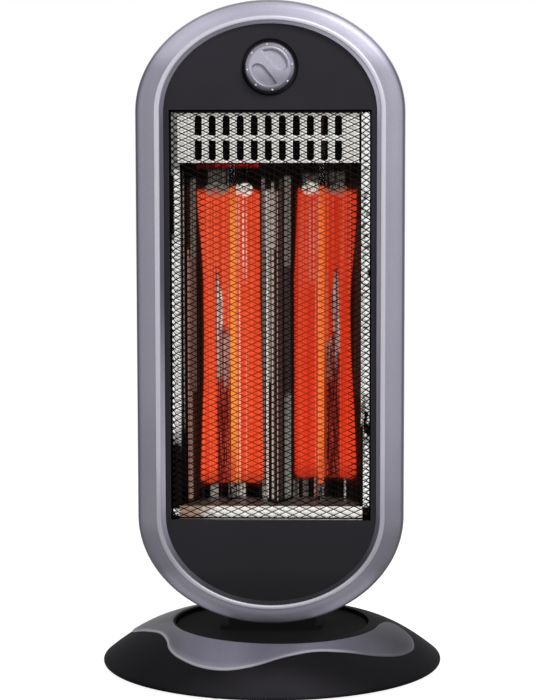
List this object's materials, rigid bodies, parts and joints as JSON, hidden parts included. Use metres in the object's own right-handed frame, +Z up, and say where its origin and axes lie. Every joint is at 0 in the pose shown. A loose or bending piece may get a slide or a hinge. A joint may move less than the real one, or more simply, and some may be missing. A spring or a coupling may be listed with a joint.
{
  "type": "carbon heater",
  "caption": "Upright electric radiant heater with arched ends, a folded mesh guard, a rotary knob and carbon tubes before polished troughs, swinging on a low round base.",
  "frame": {"origin": "on the floor, on the axis about which the body swings", "axes": "+Z up, -Y out of the heater's front, +X to the right as seen from the front"},
  "size_m": [0.357, 0.357, 0.696],
  "materials": {
    "black_satin": "satin",
    "black_gloss": "gloss",
    "silver_paint": "satin",
    "guard_black": "satin",
    "bright_sheet": "polished",
    "plain_steel": "satin",
    "screw_steel": "satin",
    "quartz": "clear",
    "glowing_carbon": "glowing orange while switched on",
    "ceramic": "matt",
    "pale_plastic": "matt",
    "red_plastic": "matt",
    "foot_rubber": "matt",
    "wire": "matt"
  },
  "bodies": {
    "base": {"base_cover": "black_gloss", "base_trim": "silver_paint", "base_plate": "black_gloss", "ballast_ring": "plain_steel", "rubber_feet": "foot_rubber", "bearing_ring": "pale_plastic", "swing_motor": "plain_steel", "motor_screws": "screw_steel", "tip_switch": "pale_plastic", "cord_gland": "black_gloss", "terminal_block": "pale_plastic", "base_wiring": "wire", "base_screws": "screw_steel"},
    "plunger": {"tip_plunger": "red_plastic", "tip_spring": "screw_steel"},
    "drive": {"motor_shaft": "screw_steel", "drive_pinion": "pale_plastic"},
    "heater": {"turntable": "black_gloss", "thrust_washer": "plain_steel", "gear_sector": "pale_plastic", "hub_nut": "plain_steel", "neck": "black_satin", "neck_screws": "screw_steel", "rear_housing": "black_satin", "handle_cup": "black_satin", "front_ring": "silver_paint", "front_panel": "black_satin", "front_screws": "screw_steel", "guard_frame": "guard_black", "guard_mesh": "guard_black", "chassis": "guard_black", "chassis_screws": "screw_steel", "vent_panel": "bright_sheet", "lip_panel": "bright_sheet", "wing_left": "bright_sheet", "wing_right": "bright_sheet", "reflector_left": "bright_sheet", "reflector_right": "bright_sheet", "quartz_tube_left": "quartz", "quartz_tube_right": "quartz", "filament_left": "glowing_carbon", "filament_right": "glowing_carbon", "end_caps": "ceramic", "upper_lamp_bracket": "plain_steel", "lower_lamp_bracket": "plain_steel", "rotary_switch": "pale_plastic", "switch_nut": "screw_steel", "thermal_cutout": "ceramic", "body_wiring": "wire"},
    "knob": {"control_knob": "silver_paint", "switch_shaft": "screw_steel"}
  },
  "joints": [
    {"name": "swing", "type": "hinge", "parent": "base", "child": "heater", "pos_m": [0, 0, 0], "axis": [0, 0, 1], "range_deg": [-35, 35]},
    {"name": "drive_turn", "type": "hinge", "parent": "base", "child": "drive", "pos_m": [0, 0.052, 0], "axis": [0, 0, 1], "range_deg": [-117, 117]},
    {"name": "knob_turn", "type": "hinge", "parent": "heater", "child": "knob", "pos_m": [0, -0.04, 0.6278], "axis": [0, -1, 0], "range_deg": [-90, 90]},
    {"name": "tip_slide", "type": "slide", "parent": "base", "child": "plunger", "axis": [0, 0, 1], "range_m": [-0.005, 0], "stiffness_N_per_m": 200, "springref_m": -0.006}
  ],
  "couplings": [
    {"joint": "drive_turn", "follows": "swing", "ratio": -3.3333}
  ]
}
